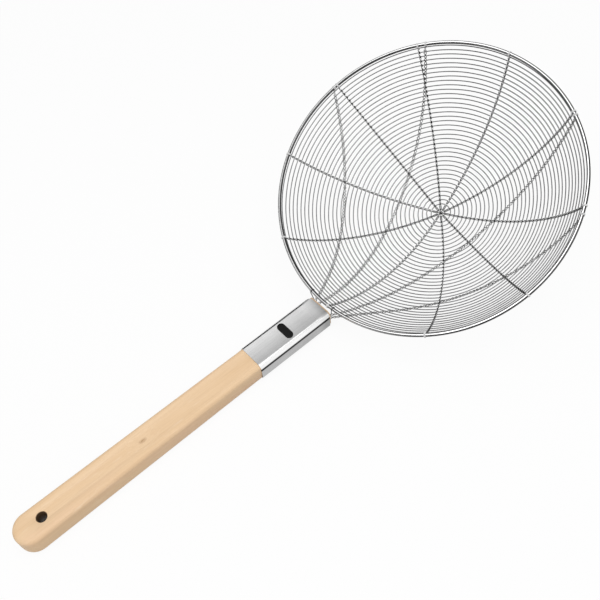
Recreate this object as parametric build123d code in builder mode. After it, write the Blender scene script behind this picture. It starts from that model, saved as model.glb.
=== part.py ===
"""A spider skimmer: a dished mesh of wire rings and twisted ribs on a wooden handle.

The skimmer lies as it does on a table. The bottom of the bowl and the underside of the handle touch the
plane z = 0, the handle points along -X, and the origin is the middle of the footprint. Lengths are in mm.
"""

import os
from math import asin, atan2, cos, hypot, pi, radians, sin, tan

from build123d import *

# Driving sizes of the bowl
rim_diameter = 320.0
rim_wire = 3.6
mesh_inset = 0.7  # from the rim's middle line in to the mesh's edge
bowl_depth = 88.0  # from the mesh's edge down to the hub
rim_drop = 3.1  # from the rim's middle plane down to the mesh's edge
bowl_tilt = 26.4  # degrees between the rim's plane and the handle
bowl_lean = 3.9  # degrees that the hand-made bowl leans sideways

# Wires of the mesh
ring_count = 37
ring_wire = 1.0
first_ring_run = 10.9  # from the hub along the bowl to the first ring
last_ring_inset = 1.1  # from the mesh's edge back along the bowl to the last ring
strand = 0.85
weave_gap = 0.05  # between wires that pass over each other
hub_radius = 2.6
hub_thickness = 2.6
hub_round = 1.1
hook_lead = 8.0  # where a strand leaves the bowl for its hook round the rim
hook_turn = 235.0  # degrees round the rim wire

# Ribs, anticlockwise from the handle: each rib's azimuth in degrees and its sideways bow
rib_angles = (4.0, 43.2, 81.4, 118.0, 153.9, 188.5, 224.9, 259.9, 294.0, 329.5)
rib_bow_shares = (0.033, 0.029, -0.001, -0.022, -0.005, 0.0, 0.004, -0.010, -0.001, 0.013)

# Handle
handle_reach = 363.0  # from the ferrule's mouth to the butt
butt_width = 33.0
butt_thickness = 24.0
butt_round = 11.0  # how far the butt's rounding reaches along the handle
edge_round = 4.4
hole_inset = 29.0  # from the butt to the hang hole
hole_diameter = 10.0
hole_chamfer = 0.6
tip_reach = 2.0  # of the wood past the ferrule's mouth

# Ferrule
ferrule_length = 92.0
ferrule_width = 33.0
ferrule_height = 23.8
ferrule_sheet = 0.8
ferrule_round = 5.0
ferrule_play = 0.1  # between the sheet and the wood at the sheet's inner end
seam_width = 0.5
seam_drop = 6.4  # from the ferrule's top down to its seam
mouth_cut = 5.0  # off one corner of the sheet at the mouth
mouth_gap = 2.5  # from the ferrule's mouth to the rim's nearest point, along the handle

# Badge
badge_length = 21.0
badge_width = 8.5
badge_height = 0.8
badge_edge = 0.3
badge_place = 46.3  # from the mouth to the badge's middle
seat_gap = 0.02

# Nails under the ferrule
nail_count = 2
nail_head = 4.0
nail_head_height = 0.5
nail_recess = 0.1
nail_shank = 1.5
nail_point = 0.5
nail_length = 11.0
nail_first = 22.0  # from the mouth
nail_step = 46.0
nail_play = 0.05

# Supports, and the ties at the mouth
support_bore = 2.6
support_bore_depth = 38.0  # from the wood's tip
support_grip = 34.0  # length of a support inside the wood
support_exit = 1.2  # straight run of a support out of the wood
support_spread = 1.2  # between the middles of a support's strands in their bore and at their hooks
tie_bore = 1.3
tie_grip = 20.0
tie_exit = 2.6
tie_bend = 2.2
tie_turn = 290.0

# Each support: the place across the mouth where it starts, as a share of the ferrule's width, then its
# azimuth in degrees and its share of the bowl's arc at three places, and the azimuth of its hook.
support_shares = {
    "a": (0.38, (342.6, 0.724), (309.0, 0.584), (262.9, 0.974), 261.4),
    "b": (0.27, (355.4, 0.687), (303.7, 0.268), (222.6, 0.974), 221.7),
    "d": (-0.31, (14.0, 0.710), (82.7, 0.266), (152.2, 0.974), 152.4),
    "e": (-0.42, (23.1, 0.759), (67.1, 0.616), (113.9, 0.974), 114.8),
}
support_height_share = 0.5  # of the ferrule's height
# Each tie: its place across the mouth, as a share of the ferrule's width, and the azimuth of its hook
tie_shares = ((0.40, -4.8), (-0.41, 6.4))
tie_height_share = 0.69  # of the ferrule's height

# Places that follow from the sizes above
rim_middle = (rim_diameter - rim_wire) / 2
bowl_radius = rim_middle - mesh_inset  # of the mesh's edge
ball = (bowl_radius**2 + bowl_depth**2) / (2 * bowl_depth)  # radius of the mesh's sphere
half_arc = asin(bowl_radius / ball)
rim_fall = ball - bowl_depth - rim_drop  # from the sphere's centre down to the rim's plane
rim_polar = atan2(rim_middle, rim_fall)
crossing = (ring_wire + strand) / 2 + weave_gap  # between the middles of a ring and a strand over it
ball_height = ball + crossing + strand / 2  # of the sphere's centre over the table
support_ball = ball + crossing + strand + weave_gap
hook_radius = (rim_wire + strand) / 2 + weave_gap
abreast = strand / 2 + weave_gap  # from the middle of a pair to each of its strands

tilt = radians(bowl_tilt)
lean = radians(bowl_lean)
bowl_up = Vector(-sin(tilt), -sin(lean) * cos(tilt), cos(lean) * cos(tilt))
to_handle = Vector(-cos(tilt), sin(lean) * sin(tilt), -cos(lean) * sin(tilt))

# The rim's near point stands mouth_gap past the mouth, and its far point and the butt end the part
ball_shift = mouth_gap + rim_middle * cos(tilt) - rim_fall * sin(tilt)
far_reach = ball_shift + rim_fall * sin(tilt) + rim_middle * cos(tilt) + rim_wire / 2
mouth_x = (handle_reach - far_reach) / 2
lean_shift = -tan(lean) * (ball_height - ferrule_height)
handle_y = rim_fall * bowl_up.Y - lean_shift
ball_centre = Vector(mouth_x + ball_shift, handle_y + lean_shift, ball_height)

bowl = Plane(origin=ball_centre, x_dir=to_handle, z_dir=bowl_up)
mouth = Plane(origin=(mouth_x, handle_y, 0), x_dir=(0, 1, 0), z_dir=(1, 0, 0))
side_plane = Plane(origin=(0, handle_y, 0), x_dir=(1, 0, 0), z_dir=(0, -1, 0))
plan_plane = Plane(origin=(0, handle_y, 0))
butt_x = mouth_x - handle_reach
hole_x = butt_x + hole_inset
tip_x = mouth_x + tip_reach
ferrule_end = mouth_x - ferrule_length
ferrule_inside = ferrule_width - 2 * ferrule_sheet


def on_bowl(radius, polar, azimuth):
    """A point at a distance from the bowl's centre, with both angles in radians."""
    place = Vector(sin(polar) * cos(azimuth), sin(polar) * sin(azimuth), -cos(polar))
    return bowl.from_local_coords(place * radius)


def round_rim(azimuth, turned, shift):
    """A point of a hook round the rim wire, turned from straight out and shifted along the rim."""
    out = rim_middle + hook_radius * cos(turned)
    up = hook_radius * sin(turned) - rim_fall
    along = Vector(-sin(azimuth), cos(azimuth)) * shift
    return bowl.from_local_coords(Vector(out * cos(azimuth), out * sin(azimuth), up) + along)


def hook_points(start, azimuth, side, shift, degrees_round):
    """The start, middle and end of the hook round the rim of a strand that comes from start.

    The strand reaches the rim on its outer side where side is 1, and on its inner side where it is -1.
    """
    local = bowl.to_local_coords(start)
    across = hypot(local.X, local.Y) - rim_middle
    rise = local.Z + rim_fall
    heading = atan2(-rise, -across) - side * asin(hook_radius / hypot(across, rise))
    touch = heading - side * pi / 2
    turn = side * radians(degrees_round)
    return [round_rim(azimuth, touch + turn * share, shift) for share in (0, 0.5, 1)]


def beside(points, shift):
    """Three points on the supports' sphere, moved sideways on it by shift."""
    normal = (points[1] - points[0]).cross(points[2] - points[1])
    outward = [(point - ball_centre).normalized() for point in points]
    sideways = [(normal - out * normal.dot(out)).normalized() for out in outward]
    return [
        ball_centre + (out * support_ball + way * shift).normalized() * support_ball
        for out, way in zip(outward, sideways)
    ]


def start_plane(path):
    """The plane square to a path at its start."""
    return Plane(origin=path @ 0, z_dir=path % 0)


# Handle: a tapered stick with a rounded butt, soft long edges, a hang hole and bores for the wires
tongue_width = ferrule_inside - 2 * ferrule_play
tongue_floor = ferrule_sheet + ferrule_play
tongue_roof = ferrule_height - ferrule_sheet - ferrule_play
taper = (handle_reach + tip_reach) / (handle_reach - ferrule_length)
tip_width = butt_width + (tongue_width - butt_width) * taper
tip_floor = tongue_floor * taper
tip_roof = butt_thickness + (tongue_roof - butt_thickness) * taper
support_height = support_height_share * ferrule_height
tie_height = tie_height_share * ferrule_height
nail_places = [mouth_x - nail_first - nail_step * n for n in range(nail_count)]
nail_seat = nail_recess + nail_head_height

with BuildPart() as handle:
    with BuildSketch(plan_plane):
        with BuildLine():
            Polyline(
                (butt_x + butt_round, butt_width / 2),
                (tip_x, tip_width / 2),
                (tip_x, -tip_width / 2),
                (butt_x + butt_round, -butt_width / 2),
            )
            EllipticalCenterArc(
                (butt_x + butt_round, 0), butt_round, butt_width / 2, start_angle=90, arc_size=180
            )
        make_face()
    extrude(amount=butt_thickness)
    with BuildSketch(side_plane):
        with BuildLine():
            Polyline(
                (butt_x, 0), (butt_x, butt_thickness), (tip_x, tip_roof), (tip_x, tip_floor), close=True
            )
        make_face()
    extrude(amount=butt_width, both=True, mode=Mode.INTERSECT)
    level_edges = handle.edges().filter_by(lambda e: abs(e.tangent_at(0.5).Z) < 0.5)
    fillet(level_edges.filter_by(lambda e: e.center().X < mouth_x), radius=edge_round)
    with BuildSketch(plan_plane):
        with Locations((hole_x, 0)):
            Circle(hole_diameter / 2)
    extrude(amount=butt_thickness, mode=Mode.SUBTRACT)
    chamfer(handle.edges().filter_by(lambda e: e.is_closed), length=hole_chamfer)
    with BuildSketch(mouth.offset(tip_reach)):
        for place, *_ in support_shares.values():
            with Locations((place * ferrule_width, support_height)):
                Circle(support_bore / 2)
    extrude(amount=-support_bore_depth, mode=Mode.SUBTRACT)
    with BuildSketch(mouth.offset(tip_reach)):
        for place, _ in tie_shares:
            with Locations((place * ferrule_width, tie_height)):
                Circle(tie_bore / 2)
    extrude(amount=-tie_grip - tie_bore, mode=Mode.SUBTRACT)
    with BuildSketch(plan_plane):
        for place in nail_places:
            with Locations((place, 0)):
                Circle(nail_shank / 2 + nail_play)
    extrude(amount=nail_recess + nail_length + nail_play, mode=Mode.SUBTRACT)
handle.part.label = "handle"

# Ferrule: one sheet rolled round the wood, with its seam on the side and a corner cut off at the mouth
with BuildPart() as ferrule:
    with BuildSketch(mouth):
        with Locations((0, ferrule_height / 2)):
            RectangleRounded(ferrule_width, ferrule_height, ferrule_round)
            RectangleRounded(
                ferrule_inside,
                ferrule_height - 2 * ferrule_sheet,
                ferrule_round - ferrule_sheet,
                mode=Mode.SUBTRACT,
            )
        with Locations(((ferrule_sheet - ferrule_width) / 2, ferrule_height - seam_drop)):
            Rectangle(2 * ferrule_sheet, seam_width, mode=Mode.SUBTRACT)
    extrude(amount=-ferrule_length)
    with BuildSketch(plan_plane.offset(ferrule_height / 2)):
        with BuildLine():
            Polyline(
                (mouth_x, ferrule_width / 2),
                (mouth_x - mouth_cut, ferrule_width / 2),
                (mouth_x, ferrule_width / 2 - mouth_cut),
                close=True,
            )
        make_face()
    extrude(amount=ferrule_height, mode=Mode.SUBTRACT)
    with BuildSketch(plan_plane):
        for place in nail_places:
            with Locations((place, 0)):
                Circle(nail_head / 2 + nail_play)
    extrude(amount=nail_seat + nail_play, mode=Mode.SUBTRACT)
    with BuildSketch(plan_plane):
        for place in nail_places:
            with Locations((place, 0)):
                Circle(nail_shank / 2 + nail_play)
    extrude(amount=2 * ferrule_sheet, mode=Mode.SUBTRACT)
ferrule.part.label = "ferrule"

# Badge: a blank oval plate across the ferrule's top
with BuildPart() as badge:
    with BuildSketch(plan_plane.offset(ferrule_height + seat_gap)):
        with Locations((mouth_x - badge_place, 0)):
            SlotOverall(badge_length, badge_width, rotation=90)
    extrude(amount=badge_height)
    fillet(badge.edges().group_by(Axis.Z)[-1], radius=badge_edge)
badge.part.label = "badge"

# Nails: flush heads in the ferrule's underside and pointed shanks in the wood
with BuildPart() as ferrule_nails:
    with BuildSketch(plan_plane.offset(nail_recess)):
        for place in nail_places:
            with Locations((place, 0)):
                Circle(nail_head / 2)
    extrude(amount=nail_head_height)
    with BuildSketch(plan_plane.offset(nail_seat)):
        for place in nail_places:
            with Locations((place, 0)):
                Circle(nail_shank / 2)
    extrude(amount=nail_length - nail_head_height)
    chamfer(ferrule_nails.edges().group_by(Axis.Z)[-1], length=nail_point)
ferrule_nails.part.label = "ferrule_nails"

# Rim: one thick wire closed to a ring
with BuildPart(bowl.offset(-rim_fall)) as rim_ring:
    Torus(rim_middle, rim_wire / 2)
rim_ring.part.label = "rim_ring"

# Hub: the small knot where the ribs cross
with BuildPart(bowl.offset(-ball)) as hub_knot:
    Cylinder(hub_radius, hub_thickness)
    fillet(hub_knot.edges().filter_by(GeomType.CIRCLE), radius=hub_round)
hub_knot.part.label = "hub_knot"

pieces = [handle, ferrule, badge, ferrule_nails, rim_ring, hub_knot]

# Mesh: closed wire rings at even steps along the bowl
ring_step = (ball * half_arc - last_ring_inset - first_ring_run) / (ring_count - 1)

for number in range(ring_count):
    ring_polar = (first_ring_run + ring_step * number) / ball
    with BuildPart(bowl.offset(-ball * cos(ring_polar))) as ring:
        Torus(ball * sin(ring_polar), ring_wire / 2)
    ring.part.label = f"ring_{number + 1:02d}"
    pieces.append(ring)

# Ribs: a strand inside the rings and one outside them, both hooked round the rim
rib_polars = ((hub_radius + 2 * weave_gap) / ball, half_arc / 2, rim_polar - hook_lead / ball)

for number, (angle, bow) in enumerate(zip(rib_angles, rib_bow_shares)):
    rib_azimuth = radians(angle)
    bowed = bow * bowl_radius / (ball * sin(rib_polars[1]))
    with BuildPart() as rib:
        for side in (1, -1):
            run = [
                on_bowl(ball + side * crossing, polar, rib_azimuth + bowed * middle)
                for polar, middle in zip(rib_polars, (0, 1, 0))
            ]
            hook = hook_points(run[2], rib_azimuth, side, side * abreast, hook_turn)
            with BuildLine() as strand_path:
                ThreePointArc(run)
                Line(run[2], hook[0])
                ThreePointArc(hook)
            with BuildSketch(start_plane(strand_path.line)):
                Circle(strand / 2)
            sweep()
    rib.part.label = f"rib_{number + 1:02d}"
    pieces.append(rib)

# Supports: pairs of strands from the handle, below the mesh, to the far rim
for name, (place, near, middle, far, hook_angle) in support_shares.items():
    spots = [on_bowl(support_ball, share * half_arc, radians(angle)) for angle, share in (near, middle, far)]
    with BuildPart() as support:
        for side in (1, -1):
            run = beside(spots, side * abreast)
            spread = -side * support_spread / 2
            hook = hook_points(run[2], radians(hook_angle), 1, spread, hook_turn)
            exit_point = Vector(
                tip_x + support_exit, handle_y + place * ferrule_width + spread, support_height
            )
            with BuildLine() as strand_path:
                Line(exit_point - Vector(support_exit + support_grip, 0, 0), exit_point)
                bowl_arc = ThreePointArc(run)
                TangentArc(run[0], exit_point, tangent=-(bowl_arc % 0))
                Line(run[2], hook[0])
                ThreePointArc(hook)
            with BuildSketch(Plane(origin=hook[2], z_dir=strand_path.wires()[0] % 1)):
                Circle(strand / 2)
            sweep()
    support.part.label = f"support_{name}"
    pieces.append(support)

# Ties: two strands from the corners of the mouth, hooked round the rim
with BuildPart() as rim_ties:
    for place, angle in tie_shares:
        corner = Vector(tip_x + tie_exit, handle_y + place * ferrule_width, tie_height)
        hook = hook_points(corner, radians(angle), 1, 0, tie_turn)
        with BuildLine() as strand_path:
            FilletPolyline(corner - Vector(tie_exit + tie_grip, 0, 0), corner, hook[0], radius=tie_bend)
            ThreePointArc(hook)
        with BuildSketch(start_plane(strand_path.line)):
            Circle(strand / 2)
        sweep()
rim_ties.part.label = "rim_ties"
pieces.append(rim_ties)

os.makedirs("parts", exist_ok=True)
for piece in pieces:
    export_step(piece.part, f"parts/{piece.part.label}.step")
print(f"{len(pieces)} nodes, handle middle line at y = {handle_y:.2f}, mouth at x = {mouth_x:.2f}")
print(f"bowl centre at {ball_centre.X:.2f}, {ball_centre.Y:.2f}, {ball_centre.Z:.2f}, hole at x = {hole_x:.2f}")
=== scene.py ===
# %% [markdown]
# # A spider skimmer
# A spider skimmer is a wide, shallow wire bowl on a wooden handle. It lifts food out of hot oil or water,
# so the bowl is nearly all gaps: closed rings of thin wire, held in place by twisted pairs of wire.
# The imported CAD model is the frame. Everything here is in metres and sits where the CAD says.

# %% Load the frame
from math import asin, atan2, cos, hypot, pi, radians, sin

import bmesh
import bpy
from mathutils import Matrix, Quaternion, Vector


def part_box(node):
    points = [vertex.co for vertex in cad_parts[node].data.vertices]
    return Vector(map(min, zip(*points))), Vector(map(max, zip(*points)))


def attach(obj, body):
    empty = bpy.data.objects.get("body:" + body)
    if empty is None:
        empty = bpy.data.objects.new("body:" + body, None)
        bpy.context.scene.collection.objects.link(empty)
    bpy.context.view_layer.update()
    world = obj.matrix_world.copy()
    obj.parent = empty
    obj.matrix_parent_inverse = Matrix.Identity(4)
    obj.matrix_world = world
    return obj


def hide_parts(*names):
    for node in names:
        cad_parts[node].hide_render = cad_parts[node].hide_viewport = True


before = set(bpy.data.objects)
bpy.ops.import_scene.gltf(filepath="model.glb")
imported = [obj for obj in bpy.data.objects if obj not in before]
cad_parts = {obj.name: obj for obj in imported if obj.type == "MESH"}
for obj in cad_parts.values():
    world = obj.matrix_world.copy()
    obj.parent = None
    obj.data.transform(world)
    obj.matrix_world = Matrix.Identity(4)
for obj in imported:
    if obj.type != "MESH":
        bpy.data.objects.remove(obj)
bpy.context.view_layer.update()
MM = 0.001
print("CAD nodes:", len(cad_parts))

# %% [markdown]
# ## Camera
# The rim is a circle, so the ellipse that it makes in a picture fixes the camera's direction, and the
# handle's straight edges fix its distance. The camera looks down steeply, and is rolled a little.

# %% Camera
scene = bpy.context.scene
camera_data = bpy.data.cameras.new("camera")
camera_data.sensor_width = 36.0
camera_data.lens = 47.25
camera_data.clip_start = 0.01
camera = bpy.data.objects.new("camera", camera_data)
scene.collection.objects.link(camera)
scene.camera = camera
camera.location = (-0.2561, -0.3724, 0.6882)
aim = Vector((0.0380, 0.0381, 0.0)) - camera.location
roll = Quaternion((0, 0, 1), radians(-6.96))
camera.rotation_euler = (aim.to_track_quat("-Z", "Y") @ roll).to_euler()
print("camera distance:", round(aim.length, 3))

# %% [markdown]
# ## Node helpers
# The studio, the materials and the wires' shapes are all made of nodes. A few short helpers make a node
# with its inputs, or one sum, in a single line.


# %% Nodes and sums
def feed(tree, value, socket):
    """Links a socket to another, or sets it to a constant."""
    if isinstance(value, bpy.types.NodeSocket):
        tree.links.new(value, socket)
    elif value is not None:
        socket.default_value = value


def node(tree, kind, *values, **settings):
    """A node with its settings, and its inputs fed in order. None leaves an input alone."""
    made = tree.nodes.new(kind)
    for key, value in settings.items():
        setattr(made, key, value)
    for value, socket in zip(values, made.inputs):
        feed(tree, value, socket)
    return made


def math(tree, operation, *values):
    """A sum on numbers."""
    return node(tree, "ShaderNodeMath", *values, operation=operation).outputs[0]


def ranged(tree, value, low, high, to_low, to_high):
    """A value between low and high, moved to between two other values."""
    return node(tree, "ShaderNodeMapRange", value, low, high, to_low, to_high).outputs[0]


# %% [markdown]
# ## Studio
# Polished wire shows its surroundings more than its own colour. A white room alone would make it vanish,
# so a product photographer sets dark cards round the table: each wire then gets a white highlight between
# two dark lines. Here a ring of dark card stands far outside the view, with a dark strip of floor in front
# of it, under a wide soft lamp. The cards show in reflections only.

# %% World and soft lamp
scene.view_settings.view_transform = "Standard"
world = bpy.data.worlds.new("studio")
scene.world = world
world.use_nodes = True
sky = world.node_tree
sky.nodes.clear()
sky_as_light, sky_as_seen = 0.5, 1.0  # the light that it gives, and how bright it looks and mirrors
sky_rays = node(sky, "ShaderNodeLightPath").outputs
sky_seen = math(sky, "MAXIMUM", sky_rays["Is Camera Ray"], sky_rays["Is Glossy Ray"])
sky_level = ranged(sky, sky_seen, 0.0, 1.0, sky_as_light, sky_as_seen)
sky_light = node(sky, "ShaderNodeBackground", (1, 1, 1, 1), sky_level)
node(sky, "ShaderNodeOutputWorld", sky_light.outputs[0])

lamp_data = bpy.data.lights.new("soft_lamp", "AREA")
lamp_data.shape = "RECTANGLE"
lamp_data.size = 2.2
lamp_data.size_y = 2.2
lamp_data.energy = 28.8
lamp = bpy.data.objects.new("soft_lamp", lamp_data)
scene.collection.objects.link(lamp)
lamp.location = (-0.35, -0.45, 2.0)
lamp.rotation_euler = (Vector((0.0, 0.0, 0.0)) - lamp.location).to_track_quat("-Z", "Y").to_euler()
print("lamp energy:", lamp_data.energy)


# %% Floor and dark cards
def staged(name, vertices, faces, material):
    """A studio piece that isn't part of the skimmer."""
    mesh = bpy.data.meshes.new(name)
    mesh.from_pydata(vertices, [], faces)
    mesh.materials.append(material)
    piece = bpy.data.objects.new(name, mesh)
    scene.collection.objects.link(piece)
    return piece


floor_paint = bpy.data.materials.new("floor_paint")
floor_paint.use_nodes = True
paint = floor_paint.node_tree
paint.nodes.clear()
floor_grey, floor_glow, glow_share = 0.6, 1.06, 0.85  # the last is how much of its looks is glow
paint_rays = node(paint, "ShaderNodeLightPath").outputs
paint_shiny = math(paint, "MAXIMUM", paint_rays["Is Glossy Ray"], paint_rays["Is Transmission Ray"])
paint_seen = math(paint, "MAXIMUM", paint_rays["Is Camera Ray"], paint_shiny)
paint_matte = node(paint, "ShaderNodeBsdfDiffuse", (floor_grey, floor_grey, floor_grey, 1)).outputs[0]
paint_white = node(paint, "ShaderNodeEmission", None, floor_glow).outputs[0]
paint_share = math(paint, "MULTIPLY", paint_seen, glow_share)
paint_mix = node(paint, "ShaderNodeMixShader", paint_share, paint_matte, paint_white)
node(paint, "ShaderNodeOutputMaterial", paint_mix.outputs[0])
half_floor, floor_z = 12.0, -0.0003  # just under the skimmer, so that the two never share a surface
staged(
    "floor",
    [(x * half_floor, y * half_floor, floor_z) for x, y in ((-1, -1), (1, -1), (1, 1), (-1, 1))],
    [(0, 1, 2, 3)],
    floor_paint,
)

card_paper = bpy.data.materials.new("card_paper")
card_paper.use_nodes = True
card_shader = card_paper.node_tree.nodes["Principled BSDF"]
card_shader.inputs["Base Color"].default_value = (0.02, 0.02, 0.022, 1)
card_shader.inputs["Roughness"].default_value = 0.9
card_count = 48
card_gap = range(34, 42)  # open where the ferrule's near side would mirror a card
card_profile = ((0.9, 0.0), (2.6, 0.0), (2.6, 2.3))  # distance and height: the strip, then the card
card_corners = [
    (distance * cos(2 * pi * n / card_count), distance * sin(2 * pi * n / card_count), height)
    for n in range(card_count)
    for distance, height in card_profile
]
card_rows = len(card_profile)
card_faces = []
for n in range(card_count):
    for row in range(card_rows - 1):
        first, second = n * card_rows + row, (n + 1) % card_count * card_rows + row
        if n not in card_gap:
            card_faces.append((first, second, second + 1, first + 1))
cards = staged("dark_cards", card_corners, card_faces, card_paper)
cards.visible_camera = False
cards.visible_diffuse = False
cards.visible_shadow = False
print("card ring:", len(card_faces), "faces")

# %% [markdown]
# ## The bowl's own frame
# The mesh lies on a sphere. Its middle and its axis are the CAD's, so that a place on the bowl is two
# angles: how far round from the handle, and how far out from the hub.

# %% Bowl sizes
bowl_radius, bowl_depth, rim_drop = 157.5 * MM, 88.0 * MM, 3.1 * MM
tilt, lean = radians(26.4), radians(3.9)
ball = (bowl_radius**2 + bowl_depth**2) / (2 * bowl_depth)
half_arc = asin(bowl_radius / ball)
rim_wire, ring_wire, strand, weave_gap = 3.6 * MM, 1.0 * MM, 0.85 * MM, 0.05 * MM
rim_radius, ring_inset = 160 * MM, 1.1 * MM
rim_middle = rim_radius - rim_wire / 2
rim_fall = ball - bowl_depth - rim_drop
bowl_up = Vector((-sin(tilt), -sin(lean) * cos(tilt), cos(lean) * cos(tilt)))
to_handle = Vector((-cos(tilt), sin(lean) * sin(tilt), -cos(lean) * sin(tilt)))
rim_low, rim_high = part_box("rim_ring")
ball_centre = (rim_low + rim_high) / 2 + bowl_up * rim_fall
bowl_axes = Matrix((to_handle, bowl_up.cross(to_handle), bowl_up)).transposed()
crossing = (ring_wire + strand) / 2 + weave_gap
ring_count, first_run = 37, 10.9 * MM
last_run = ball * half_arc - ring_inset
ring_step = (last_run - first_run) / (ring_count - 1)
print("ball radius:", round(ball, 5), "centre:", [round(v, 5) for v in ball_centre])


def on_bowl(radius, polar, azimuth):
    """A point at a distance from the bowl's centre."""
    place = Vector((sin(polar) * cos(azimuth), sin(polar) * sin(azimuth), -cos(polar)))
    return ball_centre + bowl_axes @ (place * radius)


def arc_points(first, middle, last, count):
    """Points on the circle through three points, from the first to the last."""
    across, along = middle - first, last - first
    normal = across.cross(along)
    to_centre = normal.cross(across) * along.length_squared + along.cross(normal) * across.length_squared
    centre = first + to_centre / (2 * normal.length_squared)
    start = first - centre
    side = normal.normalized().cross(start)
    end = last - centre
    turn = atan2(end.dot(side), end.dot(start)) % (2 * pi)
    return [centre + start * cos(turn * n / count) + side * sin(turn * n / count) for n in range(count + 1)]


# %% [markdown]
# ## Material helpers
# Every material reads the Object coordinates, so its pattern stays fixed to the piece. A pattern is made
# of sums on those coordinates, and an effect that materials share is one node group with named inputs.


# %% Patterns and colours
def vector_math(tree, operation, *values):
    """A sum on vectors, whose result is a vector."""
    return node(tree, "ShaderNodeVectorMath", *values, operation=operation).outputs[0]


def measured(tree, operation, *values):
    """A sum on vectors, whose result is a number, such as a length."""
    return node(tree, "ShaderNodeVectorMath", *values, operation=operation).outputs["Value"]


def scaled(tree, vector, factor):
    """A vector times a number."""
    made = node(tree, "ShaderNodeVectorMath", vector, operation="SCALE")
    feed(tree, factor, made.inputs["Scale"])
    return made.outputs[0]


def noise(tree, vector, scale, detail=2.0, roughness=0.5):
    """A soft random pattern between 0 and 1."""
    made = node(tree, "ShaderNodeTexNoise")
    feed(tree, vector, made.inputs["Vector"])
    made.inputs["Scale"].default_value = scale
    made.inputs["Detail"].default_value = detail
    made.inputs["Roughness"].default_value = roughness
    return made.outputs["Fac"]


def mixed(tree, factor, first, second):
    """The first colour where the factor is 0, and the second where it is 1."""
    made = node(tree, "ShaderNodeMix", data_type="RGBA")
    feed(tree, factor, made.inputs[0])
    feed(tree, first, made.inputs[6])
    feed(tree, second, made.inputs[7])
    return made.outputs[2]


def stretched(tree, vector, scale, place=(0, 0, 0)):
    """A Mapping node, which scales and moves a pattern."""
    return node(tree, "ShaderNodeMapping", vector, place, (0, 0, 0), scale).outputs[0]


# %% Materials and groups
def new_material(name, roughness, metallic=0.0):
    """A material with its Principled node, and the Object coordinates."""
    made = bpy.data.materials.new(name)
    made.use_nodes = True
    tree = made.node_tree
    shader = tree.nodes["Principled BSDF"]
    shader.inputs["Roughness"].default_value = roughness
    shader.inputs["Metallic"].default_value = metallic
    spots = tree.nodes.new("ShaderNodeTexCoord").outputs["Object"]
    return made, tree, shader, spots


def new_group(name, inputs, outputs):
    """A shader node group with named inputs, given as (name, kind, value), and named outputs."""
    group = bpy.data.node_groups.new(name, "ShaderNodeTree")
    for label, kind, value in inputs:
        socket = group.interface.new_socket(label, in_out="INPUT", socket_type=kind)
        if value is not None:
            socket.default_value = value
    for label, kind in outputs:
        group.interface.new_socket(label, in_out="OUTPUT", socket_type=kind)
    start = group.nodes.new("NodeGroupInput")
    end = group.nodes.new("NodeGroupOutput")
    return group, start, end


def placed(tree, group, **values):
    """A node group placed in a tree, with its inputs fed by name."""
    made = tree.nodes.new("ShaderNodeGroup")
    made.node_tree = group
    for key, value in values.items():
        feed(tree, value, made.inputs[key.replace("_", " ")])
    return made


# %% [markdown]
# ## Steel
# The wires and the ferrule are the same stainless steel with two finishes. Drawn wire is bright and
# slightly uneven along its length. The ferrule's sheet is brushed along the handle, so its highlights
# smear across. Both have faint stains and rub marks, which are one shared group. Between the flat top and
# the seam along its near side, the sheet's bend gets a painted highlight, and a band of painted shade
# darkens the seam. The flat top is painted darker toward its near side, as shade.

# %% Shared group: handling marks
marks, marks_in, marks_out = new_group(
    "handling_marks",
    [
        ("Vector", "NodeSocketVector", None),
        ("Size", "NodeSocketFloat", 60.0),
        ("Strength", "NodeSocketFloat", 0.1),
    ],
    [("Clean", "NodeSocketFloat"), ("Rough", "NodeSocketFloat")],
)
cloud = node(marks, "ShaderNodeTexNoise")
marks.links.new(marks_in.outputs["Vector"], cloud.inputs["Vector"])
marks.links.new(marks_in.outputs["Size"], cloud.inputs["Scale"])
cloud.inputs["Detail"].default_value = 4.0
cloud_mask = ranged(marks, cloud.outputs["Fac"], 0.35, 0.7, 0.0, 1.0)
cloud_part = math(marks, "MULTIPLY", cloud_mask, marks_in.outputs["Strength"])
marks.links.new(math(marks, "SUBTRACT", 1.0, cloud_part), marks_out.inputs["Clean"])
marks.links.new(cloud_part, marks_out.inputs["Rough"])
print("group:", marks.name)

# %% [markdown]
# ## Highlights on the wires
# On the real skimmer the rim shines along its top and is dark on the side away from the light, and each
# rib has one bright dash per ring. The cards are too coarse to mirror that, so two masks paint it. Both
# work out where a place on the wire is from the bowl's own measures.

# %% Where the wires are lit
dash_wave = (0.1, 0.6)  # the wave along a rib peaks at 1 once per ring, and the dash brightens between these
rim_bright = (0.24 * rim_wire, 0.41 * rim_wire)  # the rim brightens between these heights over its middle
rim_shade = (-0.22 * rim_wire, -0.08 * rim_wire)  # and darkens between these, measured the shaded way
shaded_way = Vector((0.603, -0.771, -0.202))  # away from the light


def crests(tree, spots, sign):
    """1 where a pair passes a mesh ring and 0 halfway to the next, or the other way round."""
    outward = vector_math(tree, "NORMALIZE", vector_math(tree, "SUBTRACT", spots, ball_centre[:]))
    down = measured(tree, "DOT_PRODUCT", outward, (-bowl_up)[:])
    run = math(tree, "MULTIPLY", math(tree, "ARCCOSINE", down), ball)
    turns = math(tree, "DIVIDE", math(tree, "SUBTRACT", run, first_run), ring_step)
    crest = math(tree, "MULTIPLY", math(tree, "COSINE", math(tree, "MULTIPLY", turns, 2 * pi)), sign)
    past_hub = ranged(tree, run, first_run - ring_step / 2, first_run - ring_step / 3, 0.0, 1.0)
    return math(tree, "MULTIPLY", ranged(tree, crest, *dash_wave, 0.0, 1.0), past_hub)


def over_rings(tree, spots):
    """1 on a pair where it passes a mesh ring."""
    return crests(tree, spots, 1.0)


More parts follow.
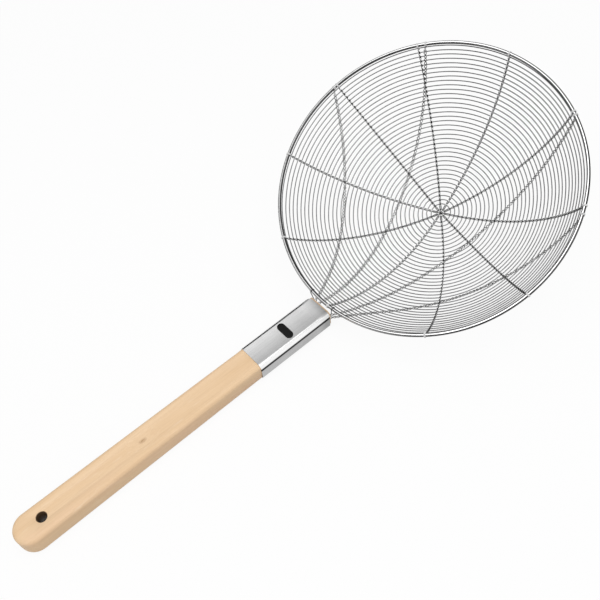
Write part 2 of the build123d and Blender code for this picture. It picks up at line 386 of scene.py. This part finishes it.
def between_rings(tree, spots):
    """1 on a pair halfway between two mesh rings."""
    return crests(tree, spots, -1.0)


def rim_top(tree, spots):
    """1 on the top of the rim's wire, and 0 round its sides and on the side that lies in the shade."""
    from_centre = vector_math(tree, "SUBTRACT", spots, ball_centre[:])
    height = measured(tree, "DOT_PRODUCT", from_centre, bowl_up[:])
    level = vector_math(tree, "SUBTRACT", from_centre, scaled(tree, bowl_up[:], height))
    middle_line = scaled(tree, vector_math(tree, "NORMALIZE", level), rim_middle)
    fallen = vector_math(tree, "SUBTRACT", middle_line, (bowl_up * rim_fall)[:])
    offset = vector_math(tree, "SUBTRACT", from_centre, fallen)
    shaded = measured(tree, "DOT_PRODUCT", offset, shaded_way[:])
    above = math(tree, "ADD", height, rim_fall)
    top = ranged(tree, above, *rim_bright, 0.0, 1.0)
    return math(tree, "MULTIPLY", top, ranged(tree, shaded, *rim_shade, 1.0, 0.0))


# %% Drawn wire
def wire_metal(name, worn, bright, roughness, size, lit=None, lit_at=None):
    """Steel wire in greys, duller where it is stained, and with a painted highlight where a mask says so."""
    made, tree, shader, spots = new_material(name, roughness, 1.0)
    stains = placed(tree, marks, Vector=spots, Size=size, Strength=0.3)
    grey = mixed(tree, stains.outputs["Clean"], (worn, worn, worn, 1), (bright, bright, bright, 1))
    if lit_at is not None:
        grey = mixed(tree, lit_at(tree, spots), grey, (lit, lit, lit, 1))
    feed(tree, grey, shader.inputs["Base Color"])
    feed(tree, math(tree, "ADD", stains.outputs["Rough"], roughness), shader.inputs["Roughness"])
    shader.inputs["Specular Tint"].default_value = (0.3, 0.3, 0.3, 1)
    return made


# Name, worn grey, bright grey, roughness and stain size, then the grey of the painted highlight, and the
# mask that places it
mesh_steel = wire_metal("mesh_wire", 0.07, 0.22, 0.14, 90.0)
support_steel = wire_metal("support_wire", 0.1, 0.4, 0.12, 150.0)
# The ribs' near-black steel stands in for the dark reflections on their strands, and a mask paints one
# highlight dash per ring: over the rings, between them, or between them and dimmer.
rib_steel = wire_metal("rib_wire", 0.004, 0.012, 0.12, 120.0, 0.9, over_rings)
between_highlight_rib_steel = wire_metal("rib_wire_highlight_between", 0.004, 0.012, 0.12, 120.0, 0.8, between_rings)
dim_highlight_rib_steel = wire_metal("rib_wire_dim_highlight", 0.004, 0.012, 0.12, 120.0, 0.36, between_rings)
# The rim: a painted highlight along its top, and painted shade round its sides and on the side away from the
# light.
rim_steel = wire_metal("rim_wire", 0.02, 0.1, 0.08, 50.0, 0.9, rim_top)
tie_steel = wire_metal("tie_wire", 0.015, 0.1, 0.12, 120.0)
for made in (mesh_steel, support_steel, rib_steel, between_highlight_rib_steel, dim_highlight_rib_steel, rim_steel, tie_steel):
    print("wire:", made.name)

# %% Brushed ferrule
ferrule_steel, tree, shader, spots = new_material("brushed_sheet", 0.3, 1.0)
ferrule_low, ferrule_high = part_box("ferrule")
brushing = noise(tree, stretched(tree, spots, (18, 900, 900)), 1.0, 3.0, 0.6)
ferrule_marks = placed(tree, marks, Vector=spots, Size=28.0, Strength=0.12)
ferrule_spot = node(tree, "ShaderNodeSeparateXYZ", spots).outputs
mouth_x, ferrule_width = ferrule_high.x, ferrule_high.y - ferrule_low.y
from_near = math(tree, "SUBTRACT", ferrule_spot["Y"], ferrule_low.y)
from_mouth = math(tree, "SUBTRACT", ferrule_spot["X"], mouth_x)
top_edges, bend_edges, side_edges = (5 * MM, ferrule_width), (2.0 * MM, 3.0 * MM), (1.2 * MM, 1.6 * MM)
near_grey, far_grey, bend_highlight_gain = 0.47, 0.84, 0.5
seam_z, seam_blend, seam_edges = ferrule_high.z - 6.4 * MM, 0.5 * MM, (1.6 * MM, 2.2 * MM)
seam_shade_grey = (0.015, 0.015, 0.015, 1)
mouth_edges, mouth_dull = (-14 * MM, -5 * MM), 0.4
# Painted shade: the flat top is painted darker toward its near side.
top_painted_shade = ranged(tree, from_near, *top_edges, near_grey, far_grey)
# Painted highlight: the bend above the seam on the near side is painted near white.
on_bend = ranged(tree, from_near, *bend_edges, 1.0, 0.0)
over_seam = ranged(tree, ferrule_spot["Z"], seam_z, seam_z + seam_blend, 0.0, 1.0)
bend_painted_highlight = math(tree, "MULTIPLY", math(tree, "MULTIPLY", on_bend, over_seam), bend_highlight_gain)
shade = math(tree, "ADD", top_painted_shade, bend_painted_highlight)
brushed_grey = math(tree, "MULTIPLY", shade, ranged(tree, brushing, 0.3, 0.7, 0.93, 1.05))
stained_grey = math(tree, "MULTIPLY", brushed_grey, ferrule_marks.outputs["Clean"])
sheet_grey = node(tree, "ShaderNodeCombineXYZ", stained_grey, stained_grey, stained_grey).outputs[0]
# Painted shade: a near-black band lies over the seam on the near side.
off_seam = math(tree, "ABSOLUTE", math(tree, "SUBTRACT", ferrule_spot["Z"], seam_z))
near_side = ranged(tree, from_near, *side_edges, 1.0, 0.0)
seam_painted_shade = math(tree, "MULTIPLY", ranged(tree, off_seam, *seam_edges, 1.0, 0.0), near_side)
feed(tree, mixed(tree, seam_painted_shade, sheet_grey, seam_shade_grey), shader.inputs["Base Color"])
brushed_rough = ranged(tree, brushing, 0.3, 0.7, 0.14, 0.2)
marked_rough = math(tree, "ADD", brushed_rough, ferrule_marks.outputs["Rough"])
mouth_rough = ranged(tree, from_mouth, *mouth_edges, 0.0, mouth_dull)
feed(tree, math(tree, "ADD", marked_rough, mouth_rough), shader.inputs["Roughness"])
brush_bump = node(tree, "ShaderNodeBump")
brush_bump.inputs["Strength"].default_value = 0.05
brush_bump.inputs["Distance"].default_value = 0.0002
feed(tree, brushing, brush_bump.inputs["Height"])
feed(tree, brush_bump.outputs[0], shader.inputs["Normal"])
print("material:", ferrule_steel.name)

# %% [markdown]
# ## Wood
# The handle is sanded pale hardwood. Its fibres run along it, so the grain is noise stretched along X:
# broad pale bands, fine fibres, and faint pinkish streaks. One small knot sits past the middle, and the
# hang hole's inside is painted dark brown as its shade.

# %% Handle wood
wood, tree, shader, spots = new_material("pale_hardwood", 0.55)
butt_x, handle_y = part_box("handle")[0].x, (ferrule_low.y + ferrule_high.y) / 2
knot_spot = (butt_x + 138.84 * MM, handle_y - 0.86 * MM, 23.8 * MM)
knot_size = (5.0 * MM, 2.6 * MM, 2.6 * MM)
hole_spot, hole_core, hole_edge = (butt_x + 29 * MM, handle_y, 0.0), 5.0 * MM, 5.6 * MM
grain_sway = 12 * MM
pale, tan, pinkish = (0.885, 0.645, 0.415, 1), (0.825, 0.58, 0.35, 1), (0.85, 0.555, 0.375, 1)
fibre_brown, fleck_cream = (0.66, 0.44, 0.26, 1), (0.93, 0.73, 0.53, 1)
knot_brown, hole_shade_brown = (0.40, 0.23, 0.11, 1), (0.045, 0.022, 0.01, 1)
knot_way = vector_math(tree, "DIVIDE", vector_math(tree, "SUBTRACT", spots, knot_spot), knot_size)
knot_far = measured(tree, "LENGTH", knot_way)
knot_push = ranged(tree, knot_far, 0.0, 4.0, 0.5, 0.0)
bend = math(tree, "ADD", noise(tree, stretched(tree, spots, (3, 14, 14)), 1.0, 2.0), knot_push)
sway = node(tree, "ShaderNodeCombineXYZ", 0.0, bend, bend).outputs[0]
swayed = vector_math(tree, "ADD", spots, scaled(tree, sway, grain_sway))
bands = noise(tree, stretched(tree, swayed, (7, 120, 120)), 1.0, 4.0, 0.6)
fibres = noise(tree, stretched(tree, swayed, (30, 1300, 1300)), 1.0, 3.0, 0.6)
flush = noise(tree, stretched(tree, swayed, (7, 42, 42), place=(4, 2, 7)), 1.0, 3.0)
base = mixed(tree, ranged(tree, bands, 0.3, 0.7, 0.0, 1.0), pale, tan)
pinked = mixed(tree, ranged(tree, flush, 0.5, 0.75, 0.0, 0.55), base, pinkish)
grained = mixed(tree, ranged(tree, fibres, 0.42, 0.8, 0.0, 0.42), pinked, fibre_brown)
flecks = noise(tree, stretched(tree, swayed, (50, 520, 520), place=(1, 5, 3)), 1.0, 2.0)
flecked = mixed(tree, ranged(tree, flecks, 0.6, 0.78, 0.0, 0.5), grained, fleck_cream)
knot_grain = noise(tree, spots, 900.0, 3.0, 0.6)
knot_core = ranged(tree, knot_far, 0.3, 1.1, 0.8, 0.0)
knot_mask = math(tree, "MULTIPLY", knot_core, ranged(tree, knot_grain, 0.35, 0.6, 0.3, 1.0))
knotted = mixed(tree, knot_mask, flecked, knot_brown)
# Painted shade: the inside of the hang hole is painted dark brown.
hole_way = vector_math(tree, "SUBTRACT", spots, hole_spot)
hole_flat = vector_math(tree, "MULTIPLY", hole_way, (1.0, 1.0, 0.0))
hole_shade_mask = ranged(tree, measured(tree, "LENGTH", hole_flat), hole_core, hole_edge, 0.96, 0.0)
feed(tree, mixed(tree, hole_shade_mask, knotted, hole_shade_brown), shader.inputs["Base Color"])
feed(tree, ranged(tree, fibres, 0.3, 0.8, 0.5, 0.62), shader.inputs["Roughness"])
fibre_bump = node(tree, "ShaderNodeBump")
fibre_bump.inputs["Strength"].default_value = 0.12
fibre_bump.inputs["Distance"].default_value = 0.0002
feed(tree, fibres, fibre_bump.inputs["Height"])
feed(tree, fibre_bump.outputs[0], shader.inputs["Normal"])
shader.inputs["Specular IOR Level"].default_value = 0.3
print("material:", wood.name)

# %% [markdown]
# ## Badge
# A blank black plate, nearly matte, with the faint haze that fingers leave.

# %% Badge plate
badge_black, tree, shader, spots = new_material("badge_black", 0.3)
badge_marks = placed(tree, marks, Vector=spots, Size=160.0, Strength=0.25)
badge_hazed, badge_clean = (0.012, 0.012, 0.012, 1), (0.004, 0.004, 0.004, 1)
badge_colour = mixed(tree, badge_marks.outputs["Clean"], badge_hazed, badge_clean)
feed(tree, badge_colour, shader.inputs["Base Color"])
feed(tree, math(tree, "ADD", badge_marks.outputs["Rough"], 0.4), shader.inputs["Roughness"])
shader.inputs["Specular IOR Level"].default_value = 0.15
print("material:", badge_black.name)

# %% [markdown]
# ## Geometry Nodes
# Three kinds of wire make the whole bowl, and each is one small tree. A tree has named inputs, sweeps a
# round profile along a curve, and ends in Realize Instances and Set Material. Each result is turned into
# a plain mesh, because the piece has to be a mesh like the CAD's.


# %% Tree helpers
def new_tree(name, inputs):
    """A geometry tree with named inputs, given as (name, kind)."""
    tree = bpy.data.node_groups.new(name, "GeometryNodeTree")
    tree.interface.new_socket("Geometry", in_out="INPUT", socket_type="NodeSocketGeometry")
    for label, kind in inputs:
        tree.interface.new_socket(label, in_out="INPUT", socket_type=kind)
    tree.interface.new_socket("Geometry", in_out="OUTPUT", socket_type="NodeSocketGeometry")
    start = tree.nodes.new("NodeGroupInput")
    return tree, start.outputs


def swept(tree, curve, radius, sides):
    """Sweeps a round wire along a curve, with closed ends."""
    profile = node(tree, "GeometryNodeCurvePrimitiveCircle", sides, mode="RADIUS")
    feed(tree, radius, profile.inputs["Radius"])
    sweep = node(tree, "GeometryNodeCurveToMesh", curve, profile.outputs["Curve"])
    sweep.inputs["Fill Caps"].default_value = True
    return sweep.outputs[0]


def finished(tree, mesh, material):
    """The end of each tree: smooth, real geometry with its material."""
    smooth = node(tree, "GeometryNodeSetShadeSmooth", mesh)
    real = node(tree, "GeometryNodeRealizeInstances", smooth.outputs[0])
    coloured = node(tree, "GeometryNodeSetMaterial", real.outputs[0])
    feed(tree, material, coloured.inputs["Material"])
    end = tree.nodes.new("NodeGroupOutput")
    tree.links.new(coloured.outputs[0], end.inputs[0])


# %% From a guide to a finished piece
def guide_curve(name, runs):
    """A curve object of one or more plain runs of points, for a tree to follow."""
    data = bpy.data.curves.new(name, "CURVE")
    data.dimensions = "3D"
    for points in runs:
        spline = data.splines.new("POLY")
        spline.points.add(len(points) - 1)
        spline.points.foreach_set("co", [c for p in points for c in (*p, 1.0)])
    guide = bpy.data.objects.new(name, data)
    scene.collection.objects.link(guide)
    return guide


def grown(name, guide, tree, values):
    """Runs a tree on a guide, and returns the result as a plain mesh object."""
    modifier = guide.modifiers.new("grow", "NODES")
    modifier.node_group = tree
    sockets = {item.name: item.identifier for item in tree.interface.items_tree if item.in_out == "INPUT"}
    for label, value in values.items():
        modifier[sockets[label]] = value
    result = guide.evaluated_get(bpy.context.evaluated_depsgraph_get())
    mesh = bpy.data.meshes.new_from_object(result)
    mesh.name = name
    piece = bpy.data.objects.new(name, mesh)
    scene.collection.objects.link(piece)
    guide_data = guide.data
    bpy.data.objects.remove(guide)
    if isinstance(guide_data, bpy.types.Curve):
        bpy.data.curves.remove(guide_data)
    else:
        bpy.data.meshes.remove(guide_data)
    return piece


def settled(piece, nodes):
    """Puts a finished piece in the place of its CAD nodes."""
    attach(piece, "root")
    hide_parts(*nodes)
    return piece


# %% [markdown]
# ## Rings
# Each mesh ring is a closed loop of wire, sprung into place between the pairs, so none is a perfect
# circle. The tree draws a circle, lets it wander a little along the bowl's surface, sets it in its place
# on the tilted bowl and sweeps the wire. The thick rim is the same tree without the wander.

# %% Ring tree
ring_tree, given = new_tree(
    "wire_ring",
    [
        ("Ring Radius", "NodeSocketFloat"),
        ("Wire Radius", "NodeSocketFloat"),
        ("Drop", "NodeSocketFloat"),
        ("Wander", "NodeSocketFloat"),
        ("Seed", "NodeSocketFloat"),
        ("Steps", "NodeSocketInt"),
        ("Sides", "NodeSocketInt"),
        ("Bowl Centre", "NodeSocketVector"),
        ("Bowl Turn", "NodeSocketVector"),
        ("Finish", "NodeSocketMaterial"),
    ],
)
ring_circle = node(ring_tree, "GeometryNodeCurvePrimitiveCircle", given["Steps"], mode="RADIUS")
feed(ring_tree, given["Ring Radius"], ring_circle.inputs["Radius"])
ring_spot = node(ring_tree, "GeometryNodeInputPosition").outputs[0]
ring_out = vector_math(ring_tree, "NORMALIZE", ring_spot)
ring_noise = node(ring_tree, "ShaderNodeTexNoise", noise_dimensions="4D")
feed(ring_tree, ring_out, ring_noise.inputs["Vector"])
feed(ring_tree, given["Seed"], ring_noise.inputs["W"])
ring_noise.inputs["Scale"].default_value = 2.2
ring_noise.inputs["Detail"].default_value = 1.0
ring_level = math(ring_tree, "SUBTRACT", ring_noise.outputs["Fac"], 0.5)
ring_sway = math(ring_tree, "MULTIPLY", ring_level, given["Wander"])
ring_rise = node(ring_tree, "ShaderNodeCombineXYZ", 0.0, 0.0, given["Ring Radius"]).outputs[0]
ring_slope = vector_math(ring_tree, "ADD", scaled(ring_tree, ring_out, given["Drop"]), ring_rise)
ring_slope = vector_math(ring_tree, "NORMALIZE", ring_slope)
ring_wandered = node(ring_tree, "GeometryNodeSetPosition", ring_circle.outputs[0])
feed(ring_tree, scaled(ring_tree, ring_slope, ring_sway), ring_wandered.inputs["Offset"])
ring_lowered = node(ring_tree, "GeometryNodeTransform", ring_wandered.outputs[0])
ring_depth = math(ring_tree, "MULTIPLY", given["Drop"], -1.0)
ring_fall = node(ring_tree, "ShaderNodeCombineXYZ", 0.0, 0.0, ring_depth).outputs[0]
feed(ring_tree, ring_fall, ring_lowered.inputs["Translation"])
ring_turned = node(ring_tree, "GeometryNodeTransform", ring_lowered.outputs[0])
feed(ring_tree, given["Bowl Centre"], ring_turned.inputs["Translation"])
ring_rotation = node(ring_tree, "FunctionNodeEulerToRotation", given["Bowl Turn"])
feed(ring_tree, ring_rotation.outputs[0], ring_turned.inputs["Rotation"])
ring_mesh = swept(ring_tree, ring_turned.outputs[0], given["Wire Radius"], given["Sides"])
finished(ring_tree, ring_mesh, given["Finish"])
print("tree:", ring_tree.name)

# %% Rings and rim
bowl_turn = bowl_axes.to_euler()
ring_wander, ring_sides, rim_steps, rim_sides = 1.2 * MM, 10, 360, 32
ring_look = 1.05 * MM  # drawn a little bolder than the CAD's
first_steps, more_steps = 64, 5  # points round the smallest ring, and how many more each ring outward has


def wire_ring(name, radius, wire, drop, wander, seed, steps, sides, finish, nodes):
    """A closed ring of wire, set in its place on the bowl."""
    blank = bpy.data.meshes.new(name + "_seed")
    guide = bpy.data.objects.new(name + "_seed", blank)
    scene.collection.objects.link(guide)
    values = {
        "Ring Radius": radius,
        "Wire Radius": wire / 2,
        "Drop": drop,
        "Wander": wander,
        "Seed": float(seed),
        "Steps": steps,
        "Sides": sides,
        "Bowl Centre": ball_centre[:],
        "Bowl Turn": bowl_turn[:],
        "Finish": finish,
    }
    return settled(grown(name, guide, ring_tree, values), nodes)


for number in range(ring_count):
    polar = (first_run + ring_step * number) / ball
    steps = first_steps + more_steps * number
    label = f"ring_{number + 1:02d}"
    wire_ring(
        f"mesh_{label}",
        ball * sin(polar),
        ring_look,
        ball * cos(polar),
        ring_wander,
        number,
        steps,
        ring_sides,
        mesh_steel,
        [label],
    )
rim = wire_ring(
    "rim_wire", rim_middle, rim_wire, rim_fall, 0.0, 0, rim_steps, rim_sides, rim_steel, ["rim_ring"]
)
print("rings:", ring_count, "rim triangles:", len(rim.data.polygons) * 2)

# %% [markdown]
# ## Twisted pairs
# A rib is two wires twisted round each other with every ring caught between them: the wire that passes
# above one ring passes below the next. So the twist makes half a turn per ring. The tree follows a guide
# curve, and moves each wire round it: far enough up and down to pass a ring, and a little sideways.
# The supports below the bowl are pairs too, with a tighter twist, because no ring holds them apart.

# %% Twist tree
strand_sides = 8
side_by_side = -0.5  # in half turns: up to here the two wires run side by side
twist_tree, given = new_tree(
    "twisted_pair",
    [
        ("Strand Radius", "NodeSocketFloat"),
        ("Over", "NodeSocketFloat"),
        ("Beside", "NodeSocketFloat"),
        ("Half Turn", "NodeSocketFloat"),
        ("Lead", "NodeSocketFloat"),
        ("Step", "NodeSocketFloat"),
        ("Bowl Centre", "NodeSocketVector"),
        ("Finish", "NodeSocketMaterial"),
    ],
)
twist_path = node(twist_tree, "GeometryNodeResampleCurve", given["Geometry"], mode="LENGTH")
feed(twist_tree, given["Step"], twist_path.inputs["Length"])
twist_run = node(twist_tree, "GeometryNodeSplineParameter").outputs["Length"]
twist_past = math(twist_tree, "SUBTRACT", twist_run, given["Lead"])
twist_turns = math(twist_tree, "DIVIDE", twist_past, given["Half Turn"])
twist_angle = math(twist_tree, "MULTIPLY", math(twist_tree, "MAXIMUM", twist_turns, side_by_side), pi)
twist_along = node(twist_tree, "GeometryNodeInputTangent").outputs[0]
twist_spot = node(twist_tree, "GeometryNodeInputPosition").outputs[0]
twist_outward = vector_math(twist_tree, "SUBTRACT", twist_spot, given["Bowl Centre"])
twist_across = vector_math(twist_tree, "CROSS_PRODUCT", twist_along, twist_outward)
twist_side = vector_math(twist_tree, "NORMALIZE", twist_across)
twist_up = vector_math(twist_tree, "CROSS_PRODUCT", twist_side, twist_along)
twist_over = math(twist_tree, "MULTIPLY", math(twist_tree, "COSINE", twist_angle), given["Over"])
twist_beside = math(twist_tree, "MULTIPLY", math(twist_tree, "SINE", twist_angle), given["Beside"])
twist_shift = vector_math(
    twist_tree, "ADD", scaled(twist_tree, twist_up, twist_over), scaled(twist_tree, twist_side, twist_beside)
)
twist_both = node(twist_tree, "GeometryNodeJoinGeometry")
for sign in (1.0, -1.0):
    moved = node(twist_tree, "GeometryNodeSetPosition", twist_path.outputs[0])
    feed(twist_tree, scaled(twist_tree, twist_shift, sign), moved.inputs["Offset"])
    one_strand = swept(twist_tree, moved.outputs[0], given["Strand Radius"], strand_sides)
    twist_tree.links.new(one_strand, twist_both.inputs[0])
finished(twist_tree, twist_both.outputs[0], given["Finish"])
print("tree:", twist_tree.name)

# %% Plain wire tree
wire_tree, given = new_tree(
    "bent_wire",
    [("Wire Radius", "NodeSocketFloat"), ("Step", "NodeSocketFloat"), ("Finish", "NodeSocketMaterial")],
)
wire_path = node(wire_tree, "GeometryNodeResampleCurve", given["Geometry"], mode="LENGTH")
feed(wire_tree, given["Step"], wire_path.inputs["Length"])
wire_mesh = swept(wire_tree, wire_path.outputs[0], given["Wire Radius"], strand_sides)
finished(wire_tree, wire_mesh, given["Finish"])
print("tree:", wire_tree.name)

# %% Hooks round the rim
# How many degrees a hook goes round the rim, in how many steps, and how far it starts inside its pair
hook_turn, hook_steps, hook_lap = 235, 14, 0.4 * MM


def round_rim(azimuth, turned, shift, reach):
    """A point of a hook round the rim, turned from straight out."""
    out, up = rim_middle + reach * cos(turned), reach * sin(turned) - rim_fall
    along = Vector((-sin(azimuth), cos(azimuth), 0)) * shift
    return ball_centre + bowl_axes @ (Vector((out * cos(azimuth), out * sin(azimuth), up)) + along)


def hook_points(start, azimuth, side, shift):
    """A wire from its start to the rim, and once round it. Side is 1 for under the rim, -1 for over."""
    reach = (rim_wire + strand) / 2 + weave_gap
    local = bowl_axes.transposed() @ (start - ball_centre)
    across, rise = hypot(local.x, local.y) - rim_middle, local.z + rim_fall
    heading = atan2(-rise, -across) - side * asin(reach / hypot(across, rise))
    touch = heading - side * pi / 2
    turn = side * radians(hook_turn)
    spots = range(hook_steps + 1)
    return [start] + [round_rim(azimuth, touch + turn * n / hook_steps, shift, reach) for n in spots]


# %% A pair with its hooks
def joined(name, parts):
    """Joins mesh objects into one piece."""
    mesh = bmesh.new()
    for part in parts:
        mesh.from_mesh(part.data)
    target = parts[0].data.copy()
    mesh.to_mesh(target)
    mesh.free()
    piece = bpy.data.objects.new(name, target)
    target.name = name
    scene.collection.objects.link(piece)
    for part in parts:
        bpy.data.objects.remove(part)
    return piece


twist_step, bend_step = 0.55 * MM, 0.5 * MM


def pair_of_wires(name, path, thickness, over, beside, half_turn, lead, hooks, finish, nodes):
    """A twisted pair along a path, with its two ends hooked round the rim."""
    values = {
        "Strand Radius": thickness / 2,
        "Over": over,
        "Beside": beside,
        "Half Turn": half_turn,
        "Lead": lead,
        "Step": twist_step,
        "Bowl Centre": ball_centre[:],
        "Finish": finish,
    }
    twisted = grown(name + "_twist", guide_curve(name + "_guide", [path]), twist_tree, values)
    bent = grown(
        name + "_hooks",
        guide_curve(name + "_ends", hooks),
        wire_tree,
        {"Wire Radius": strand / 2, "Step": bend_step, "Finish": finish},
    )
    return settled(joined(name, [twisted, bent]), nodes)


# %% Ribs
# Each rib's angle round the bowl from the handle, and how far its middle bows round, as a share of the
# bowl's radius. The photograph's light catches three ribs over the rings and three between them, so
# their painted highlight dashes sit there, and the other four get dimmer painted dashes.
rib_angles = (4.0, 43.2, 81.4, 118.0, 153.9, 188.5, 224.9, 259.9, 294.0, 329.5)
rib_bow_shares = (0.033, 0.029, -0.001, -0.022, -0.005, 0.0, 0.004, -0.010, -0.001, 0.013)
rib_start, rib_splay, path_steps = 3.8 * MM, 0.7 * MM, 240
strand_look = 0.98 * MM  # drawn a little bolder than the CAD's
rib_highlight_copies = {1: rib_steel, 6: rib_steel, 9: rib_steel, 2: between_highlight_rib_steel, 7: between_highlight_rib_steel, 8: between_highlight_rib_steel}
rib_triangles = 0
for number, (angle, bow) in enumerate(zip(rib_angles, rib_bow_shares)):
    azimuth = radians(angle)
    middle = (rib_start + last_run) / 2 / ball
    bowed = bow * bowl_radius / (ball * sin(middle))
    path = arc_points(
        on_bowl(ball, rib_start / ball, azimuth),
        on_bowl(ball, middle, azimuth + bowed),
        on_bowl(ball, last_run / ball, azimuth),
        path_steps,
    )
    ahead = (path[-1] - path[-2]).normalized()
    outward = (path[-1] - ball_centre).normalized()
    hooks = []
    for side in (1, -1):
        leaving = path[-1] + outward * (side * crossing)
        hook = hook_points(leaving, azimuth, side, side * (strand / 2 + weave_gap))
        hooks.append([leaving - ahead * hook_lap] + hook)
    label = f"rib_{number + 1:02d}"
    rib = pair_of_wires(
        f"twisted_{label}",
        path,
        strand_look,
        crossing - (strand_look - strand) / 2,
        rib_splay,
        ring_step,
        first_run - rib_start,
        hooks,
        rib_highlight_copies.get(number + 1, dim_highlight_rib_steel),
        [label],
    )
    rib_triangles += sum(len(face.vertices) - 2 for face in rib.data.polygons)
print("rib triangles:", rib_triangles)

# %% [markdown]
# ## Supports
# Four more pairs start in drilled holes in the wood's tip, sweep below the bowl and hook round its far rim.
# They carry the load, because the rim touches the handle at one point only.

# %% Support paths
ferrule_height = ferrule_high.z - ferrule_low.z
support_ball = ball + crossing + strand + weave_gap
wood_grip, wood_tip, wood_exit = 30 * MM, mouth_x + 2.0 * MM, 1.2 * MM
twist_starts, twist_length, hook_shift, bridge_steps = 3 * MM, 3.8 * MM, 0.6 * MM, 60
pair_reach = (strand + weave_gap) / 2
support_look, support_splay = 1.1 * strand, 2.8 * pair_reach  # drawn bolder than the CAD's
# Across the mouth as a share of its width, three places below the mesh as an angle and a share of the
# bowl's arc, and the hook's angle
support_shares = {
    "a": (0.38, (342.6, 0.724), (309.0, 0.584), (262.9, 0.974), 261.4),
    "b": (0.27, (355.4, 0.687), (303.7, 0.268), (222.6, 0.974), 221.7),
    "d": (-0.31, (14.0, 0.710), (82.7, 0.266), (152.2, 0.974), 152.4),
    "e": (-0.42, (23.1, 0.759), (67.1, 0.616), (113.9, 0.974), 114.8),
}


def tangent_arc(start, direction, end, count):
    """Points on the circle that leaves start along a direction and reaches end."""
    chord = end - start
    inward = (chord - direction * chord.dot(direction)).normalized()
    centre = start + inward * (chord.length_squared / (2 * chord.dot(inward)))
    turn = 2 * atan2(chord.dot(inward), chord.dot(direction))
    reach = start - centre
    size = reach.length
    return [
        centre + reach * cos(turn * n / count) + direction * (size * sin(turn * n / count))
        for n in range(count + 1)
    ]


for label, (place, near, middle, far, hook_angle) in support_shares.items():
    below_spots = [on_bowl(support_ball, share * half_arc, radians(a)) for a, share in (near, middle, far)]
    below = arc_points(*below_spots, path_steps)
    exit_point = Vector((wood_tip + wood_exit, handle_y + place * ferrule_width, ferrule_height / 2))
    back = (below[0] - below[1]).normalized()
    bridge = tangent_arc(below[0], back, exit_point, bridge_steps)
    path = [exit_point - Vector((wood_exit + wood_grip, 0, 0))] + bridge[::-1] + below[1:]
    length = sum((b - a).length for a, b in zip(path, path[1:]))
    lead = wood_grip + twist_starts
    half_turns = round((length - lead) / twist_length)
    half_turn = (length - lead) / (half_turns + 0.5)
    ahead = (path[-1] - path[-2]).normalized()
    side_way = ahead.cross(path[-1] - ball_centre).normalized()
    azimuth = radians(hook_angle)
    rim_way = bowl_axes @ Vector((-sin(azimuth), cos(azimuth), 0))
    hooks = []
    for sign in (1, -1):
        leaving = path[-1] + side_way * (sign * pair_reach)
        shift = hook_shift if side_way.dot(rim_way) * sign > 0 else -hook_shift
        hooks.append([leaving - ahead * hook_lap] + hook_points(leaving, azimuth, 1, shift))
    node_name = f"support_{label}"
    pair_of_wires(
        f"twisted_{node_name}",
        path,
        support_look,
        pair_reach,
        support_splay,
        half_turn,
        lead,
        hooks,
        support_steel,
        [node_name],
    )
    print("support", label, "length:", round(length, 3), "half turns:", half_turns)

# %% [markdown]
# ## Hub
# At the bottom of the bowl a wire of each pair runs straight on into the pair across from it. The five
# crossings lie on top of one another and are pressed together.

# %% Hub crossing
hub_runs = []
hub_layer, hub_start = 0.45 * MM, 1.2 * rib_start
half_count = len(rib_angles) // 2
for number in range(half_count):
    level = ball + (number - (half_count - 1) / 2) * hub_layer
    first, last = (
        on_bowl(ball, hub_start / ball, radians(rib_angles[n])) for n in (number, number + half_count)
    )
    hub_runs.append([first, ball_centre - bowl_up * level, last])
hub = grown(
    "hub_crossing",
    guide_curve("hub_guide", hub_runs),
    wire_tree,
    {"Wire Radius": strand / 2, "Step": bend_step, "Finish": rib_steel},
)
settled(hub, ["hub_knot"])
print("hub wires:", len(hub_runs))

# %% [markdown]
# ## Handle, ferrule, badge and ties
# These keep the CAD's own shapes, apart from the butt, whose rounding is drawn longer. A welded copy of
# each shades smoothly over its roundings, and stays crisp at its edges.

# %% Smooth copies of CAD nodes
butt_round, butt_drawn = 11 * MM, 16 * MM  # how far the rounding reaches in the CAD, and here
butt_end = butt_x + 1.05 * butt_round
weld_gap, sharp_angle = 2e-6, radians(32)


def softened(label, name, material):
    """A welded copy of a CAD node's mesh, smooth except at its sharp edges."""
    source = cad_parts[label]
    welded = bmesh.new()
    welded.from_mesh(source.data)
    welded.transform(source.matrix_world)
    bmesh.ops.remove_doubles(welded, verts=welded.verts, dist=weld_gap)
    if label == "handle":
        for corner in welded.verts:
            if corner.co.x < butt_end:
                corner.co.x = butt_x + (corner.co.x - butt_x) * butt_drawn / butt_round
    data = bpy.data.meshes.new(name)
    welded.to_mesh(data)
    welded.free()
    data.polygons.foreach_set("use_smooth", [True] * len(data.polygons))
    data.set_sharp_from_angle(angle=sharp_angle)
    data.materials.append(material)
    piece = bpy.data.objects.new(name, data)
    scene.collection.objects.link(piece)
    return settled(piece, [label])


for label, name, material, slot in (
    ("handle", "wooden_handle", wood, "wood"),
    ("ferrule", "rolled_sleeve", ferrule_steel, "ferrule_steel"),
    ("badge", "badge_plate", badge_black, "badge"),
    ("ferrule_nails", "nail_heads", ferrule_steel, "ferrule_steel"),
    ("rim_ties", "tie_wires", tie_steel, "wire"),
):
    piece = softened(label, name, material)
    print(name, "triangles:", len(piece.data.polygons))
